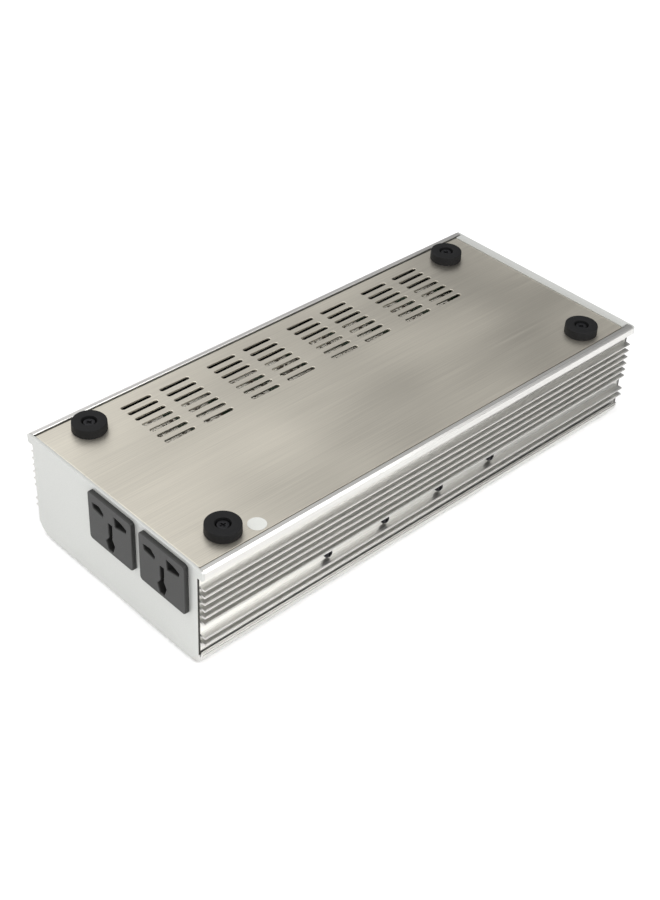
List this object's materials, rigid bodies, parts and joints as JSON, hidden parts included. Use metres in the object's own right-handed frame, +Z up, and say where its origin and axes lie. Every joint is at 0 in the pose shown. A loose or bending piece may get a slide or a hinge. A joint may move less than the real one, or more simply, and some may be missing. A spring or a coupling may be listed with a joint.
{
  "type": "power inverter",
  "caption": "Long finned aluminium power inverter lying on its ribbed top, with vented base, rubber feet, two mains sockets and a battery end with fan.",
  "frame": {"origin": "under the middle of the whole object, on the surface it lies on, which touches the case's ribbed top face", "axes": "+X along the case towards the battery end with the fan, the sockets at -X; +Y towards the vented side; +Z up, through the bottom cover and its feet, because the inverter is stored lying upside down as shown"},
  "size_m": [0.3894, 0.16, 0.0787],
  "materials": {
    "extruded_aluminium": "clear anodised extruded aluminium with fine die lines",
    "champagne_sheet": "champagne anodised aluminium sheet, fine grain along its length",
    "silver_sheet": "silver-white satin coated sheet",
    "black_rubber": "matt black moulded rubber",
    "black_screw": "black oxide steel screw",
    "plated_steel": "zinc plated steel",
    "paper": "white paper dot",
    "socket_plastic": "dark grey moulded plastic",
    "brass": "bare brass",
    "fan_plastic": "black glass filled plastic",
    "chrome_wire": "nickel plated steel wire",
    "red_plastic": "red moulded plastic",
    "black_plastic": "black moulded plastic",
    "green_lens": "tinted green lens",
    "red_lens": "tinted red lens",
    "circuit_board": "solder masked glass epoxy board",
    "ferrite": "sintered ferrite",
    "winding_tape": "yellow polyester tape over copper",
    "capacitor_sleeve": "shrink sleeve over an aluminium can",
    "transistor_body": "moulded epoxy on a tinned tab",
    "mill_aluminium": "sawn aluminium bar",
    "thermal_pad": "grey silicone pad",
    "powder_core": "coated iron powder core",
    "copper": "enamelled copper wire",
    "fuse_plastic": "tinted fuse body",
    "red_insulation": "soft red insulation",
    "black_insulation": "soft black insulation",
    "blue_insulation": "soft blue insulation"
  },
  "bodies": {
    "case": {"case_extrusion": "extruded_aluminium", "bottom_cover": "champagne_sheet", "ac_end_plate": "silver_sheet", "dc_end_plate": "silver_sheet", "foot_1": "black_rubber", "foot_2": "black_rubber", "foot_3": "black_rubber", "foot_4": "black_rubber", "foot_screws": "black_screw", "clamp_screws": "plated_steel", "seal_dot": "paper", "socket_left": "socket_plastic", "socket_right": "socket_plastic", "contacts_left": "brass", "contacts_right": "brass", "fan_frame": "fan_plastic", "fan_guard": "chrome_wire", "fan_screws": "plated_steel", "red_base": "red_plastic", "black_base": "black_plastic", "red_stud": "brass", "black_stud": "brass", "terminal_nuts": "plated_steel", "switch_body": "black_plastic", "led_bezels": "black_plastic", "power_led": "green_lens", "fault_led": "red_lens", "earth_stud": "plated_steel", "earth_nut": "plated_steel", "main_board": "circuit_board", "control_board": "circuit_board", "board_standoffs": "brass", "standoff_screws": "plated_steel", "transformer_core_1": "ferrite", "transformer_core_2": "ferrite", "transformer_winding_1": "winding_tape", "transformer_winding_2": "winding_tape", "input_capacitors": "capacitor_sleeve", "bus_capacitors": "capacitor_sleeve", "input_transistors": "transistor_body", "output_transistors": "transistor_body", "clamp_bars": "mill_aluminium", "thermal_pads": "thermal_pad", "choke_core": "powder_core", "choke_winding": "copper", "blade_fuses": "fuse_plastic", "battery_lead_red": "red_insulation", "battery_lead_black": "black_insulation", "live_lead": "red_insulation", "neutral_lead": "blue_insulation", "fan_lead": "red_insulation"},
    "fan_rotor": {"fan_rotor": "fan_plastic"},
    "rocker": {"switch_rocker": "black_plastic"},
    "red_washer": {"red_washer": "plated_steel"},
    "red_cap": {"red_cap": "red_plastic"},
    "black_washer": {"black_washer": "plated_steel"},
    "black_cap": {"black_cap": "black_plastic"}
  },
  "joints": [
    {"name": "fan_spin", "type": "hinge", "parent": "case", "child": "fan_rotor", "pos_m": [0.1616, 0.034, 0.0355], "axis": [1, 0, 0], "continuous": true},
    {"name": "power_rocker", "type": "hinge", "parent": "case", "child": "rocker", "pos_m": [0.1741, -0.057, 0.044], "axis": [0, 0, 1], "range_deg": [0, 20]},
    {"name": "red_washer_slide", "type": "slide", "parent": "case", "child": "red_washer", "axis": [1, 0, 0], "range_m": [0, 0.01]},
    {"name": "red_cap_turn", "type": "hinge", "parent": "red_washer", "child": "red_cap", "pos_m": [0.1836, -0.007, 0.036], "axis": [1, 0, 0], "range_deg": [0, 2880]},
    {"name": "black_washer_slide", "type": "slide", "parent": "case", "child": "black_washer", "axis": [1, 0, 0], "range_m": [0, 0.01]},
    {"name": "black_cap_turn", "type": "hinge", "parent": "black_washer", "child": "black_cap", "pos_m": [0.1836, -0.034, 0.036], "axis": [1, 0, 0], "range_deg": [0, 2880]}
  ],
  "couplings": [
    {"joint": "red_cap_turn", "follows": "red_washer_slide", "rad_per_m": 5026.5},
    {"joint": "black_cap_turn", "follows": "black_washer_slide", "rad_per_m": 5026.5}
  ]
}
